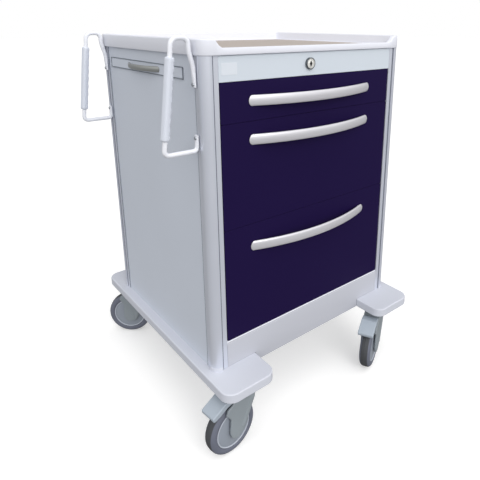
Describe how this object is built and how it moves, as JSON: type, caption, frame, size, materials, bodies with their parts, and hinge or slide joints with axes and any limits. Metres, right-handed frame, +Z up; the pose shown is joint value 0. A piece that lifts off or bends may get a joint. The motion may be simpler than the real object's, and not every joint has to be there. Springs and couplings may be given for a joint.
{
  "type": "bedside cabinet",
  "caption": "Hospital bedside cabinet on swivel casters with sliding drawers, lockable front, pull-out side shelf, side push handles and a rimmed worktop tray.",
  "frame": {"origin": "on the floor, under the centre of the whole cabinet's bounding box", "axes": "+Z up; -Y towards the drawers; +X to the right seen from the front, so the push handles and the side shelf are on the -X side"},
  "size_m": [0.6672, 0.683, 0.9047],
  "materials": {
    "shell": "moulded, fine grain",
    "panel": "powder coat",
    "post": "satin anodised",
    "fascia": "powder coat",
    "lower_fascia": "powder coat",
    "drawer_front": "satin paint",
    "pull": "satin",
    "zinc": "zinc plated",
    "chrome": "polished",
    "handle": "white paint",
    "grip": "soft matt",
    "fork": "moulded",
    "hub": "moulded",
    "tyre": "matt tread",
    "pedal": "moulded"
  },
  "bodies": {
    "cabinet": {"base_plate": "shell", "top_tray": "shell", "post_front_left": "post", "post_front_right": "post", "post_rear_left": "post", "post_rear_right": "post", "side_panel_left": "panel", "side_panel_right": "panel", "back_panel": "panel", "top_fascia": "fascia", "lower_fascia": "lower_fascia", "shelf_guide": "zinc", "push_handle_front": "handle", "push_grip_front": "grip", "push_handle_rear": "handle", "push_grip_rear": "grip", "lock_housing": "chrome", "rail_outer_top_left": "zinc", "rail_outer_top_right": "zinc", "rail_outer_middle_left": "zinc", "rail_outer_middle_right": "zinc", "rail_outer_bottom_left": "zinc", "rail_outer_bottom_right": "zinc", "caster_stem_front_left": "zinc", "caster_stem_front_right": "zinc", "caster_stem_rear_left": "zinc", "caster_stem_rear_right": "zinc"},
    "drawer_top": {"drawer_front_top": "drawer_front", "drawer_box_top": "zinc", "drawer_pull_top": "pull"},
    "slides_top": {"rail_mid_top_left": "zinc", "rail_mid_top_right": "zinc"},
    "drawer_middle": {"drawer_front_middle": "drawer_front", "drawer_box_middle": "zinc", "drawer_pull_middle": "pull"},
    "slides_middle": {"rail_mid_middle_left": "zinc", "rail_mid_middle_right": "zinc"},
    "drawer_bottom": {"drawer_front_bottom": "drawer_front", "drawer_box_bottom": "zinc", "drawer_pull_bottom": "pull"},
    "slides_bottom": {"rail_mid_bottom_left": "zinc", "rail_mid_bottom_right": "zinc"},
    "side_shelf": {"side_shelf": "shell", "shelf_pull": "pull"},
    "lock_cylinder": {"lock_plug": "chrome"},
    "lock_bar": {"lock_bar": "zinc"},
    "fork_front_left": {"caster_fork_front_left": "fork"},
    "wheel_front_left": {"caster_hub_front_left": "hub", "caster_tyre_front_left": "tyre"},
    "pedal_front_left": {"brake_pedal_front_left": "pedal"},
    "fork_front_right": {"caster_fork_front_right": "fork"},
    "wheel_front_right": {"caster_hub_front_right": "hub", "caster_tyre_front_right": "tyre"},
    "pedal_front_right": {"brake_pedal_front_right": "pedal"},
    "fork_rear_left": {"caster_fork_rear_left": "fork"},
    "wheel_rear_left": {"caster_hub_rear_left": "hub", "caster_tyre_rear_left": "tyre"},
    "fork_rear_right": {"caster_fork_rear_right": "fork"},
    "wheel_rear_right": {"caster_hub_rear_right": "hub", "caster_tyre_rear_right": "tyre"}
  },
  "joints": [
    {"name": "drawer_top_slide", "type": "slide", "parent": "cabinet", "child": "drawer_top", "axis": [0, -1, 0], "range_m": [0, 0.4]},
    {"name": "slides_top_travel", "type": "slide", "parent": "cabinet", "child": "slides_top", "axis": [0, -1, 0], "range_m": [0, 0.2]},
    {"name": "drawer_middle_slide", "type": "slide", "parent": "cabinet", "child": "drawer_middle", "axis": [0, -1, 0], "range_m": [0, 0.4]},
    {"name": "slides_middle_travel", "type": "slide", "parent": "cabinet", "child": "slides_middle", "axis": [0, -1, 0], "range_m": [0, 0.2]},
    {"name": "drawer_bottom_slide", "type": "slide", "parent": "cabinet", "child": "drawer_bottom", "axis": [0, -1, 0], "range_m": [0, 0.4]},
    {"name": "slides_bottom_travel", "type": "slide", "parent": "cabinet", "child": "slides_bottom", "axis": [0, -1, 0], "range_m": [0, 0.2]},
    {"name": "side_shelf_slide", "type": "slide", "parent": "cabinet", "child": "side_shelf", "axis": [-1, 0, 0], "range_m": [0, 0.3]},
    {"name": "lock_turn", "type": "hinge", "parent": "cabinet", "child": "lock_cylinder", "pos_m": [0.00759, -0.25714, 0.843], "axis": [0, 1, 0], "range_deg": [0, 90]},
    {"name": "lock_bar_drop", "type": "slide", "parent": "cabinet", "child": "lock_bar", "axis": [0, 0, -1], "range_m": [0, 0.01]},
    {"name": "swivel_front_left", "type": "hinge", "parent": "cabinet", "child": "fork_front_left", "pos_m": [-0.19941, -0.27914, 0.15], "axis": [0, 0, 1], "continuous": true},
    {"name": "spin_front_left", "type": "hinge", "parent": "fork_front_left", "child": "wheel_front_left", "pos_m": [-0.23918, -0.28343, 0.0625], "axis": [0.107, -0.9943, 0], "continuous": true},
    {"name": "pedal_front_left", "type": "hinge", "parent": "fork_front_left", "child": "pedal_front_left", "pos_m": [-0.24316, -0.28385, 0.143], "axis": [0.107, -0.9943, 0], "range_deg": [-12, 0]},
    {"name": "swivel_front_right", "type": "hinge", "parent": "cabinet", "child": "fork_front_right", "pos_m": [0.25659, -0.27914, 0.15], "axis": [0, 0, 1], "continuous": true},
    {"name": "spin_front_right", "type": "hinge", "parent": "fork_front_right", "child": "wheel_front_right", "pos_m": [0.22068, -0.29676, 0.0625], "axis": [0.4404, -0.8978, 0], "continuous": true},
    {"name": "pedal_front_right", "type": "hinge", "parent": "fork_front_right", "child": "pedal_front_right", "pos_m": [0.21709, -0.29852, 0.143], "axis": [0.4404, -0.8978, 0], "range_deg": [-12, 0]},
    {"name": "swivel_rear_left", "type": "hinge", "parent": "cabinet", "child": "fork_rear_left", "pos_m": [-0.19941, 0.25486, 0.15], "axis": [0, 0, 1], "continuous": true},
    {"name": "spin_rear_left", "type": "hinge", "parent": "fork_rear_left", "child": "wheel_rear_left", "pos_m": [-0.22966, 0.28103, 0.0625], "axis": [-0.6542, -0.7563, 0], "continuous": true},
    {"name": "swivel_rear_right", "type": "hinge", "parent": "cabinet", "child": "fork_rear_right", "pos_m": [0.25659, 0.25486, 0.15], "axis": [0, 0, 1], "continuous": true},
    {"name": "spin_rear_right", "type": "hinge", "parent": "fork_rear_right", "child": "wheel_rear_right", "pos_m": [0.2318, 0.28625, 0.0625], "axis": [-0.7848, -0.6198, 0], "continuous": true}
  ],
  "couplings": [
    {"joint": "slides_top_travel", "follows": "drawer_top_slide", "ratio": 0.5},
    {"joint": "slides_middle_travel", "follows": "drawer_middle_slide", "ratio": 0.5},
    {"joint": "slides_bottom_travel", "follows": "drawer_bottom_slide", "ratio": 0.5},
    {"joint": "lock_turn", "follows": "lock_bar_drop", "rad_per_m": 157.07}
  ]
}
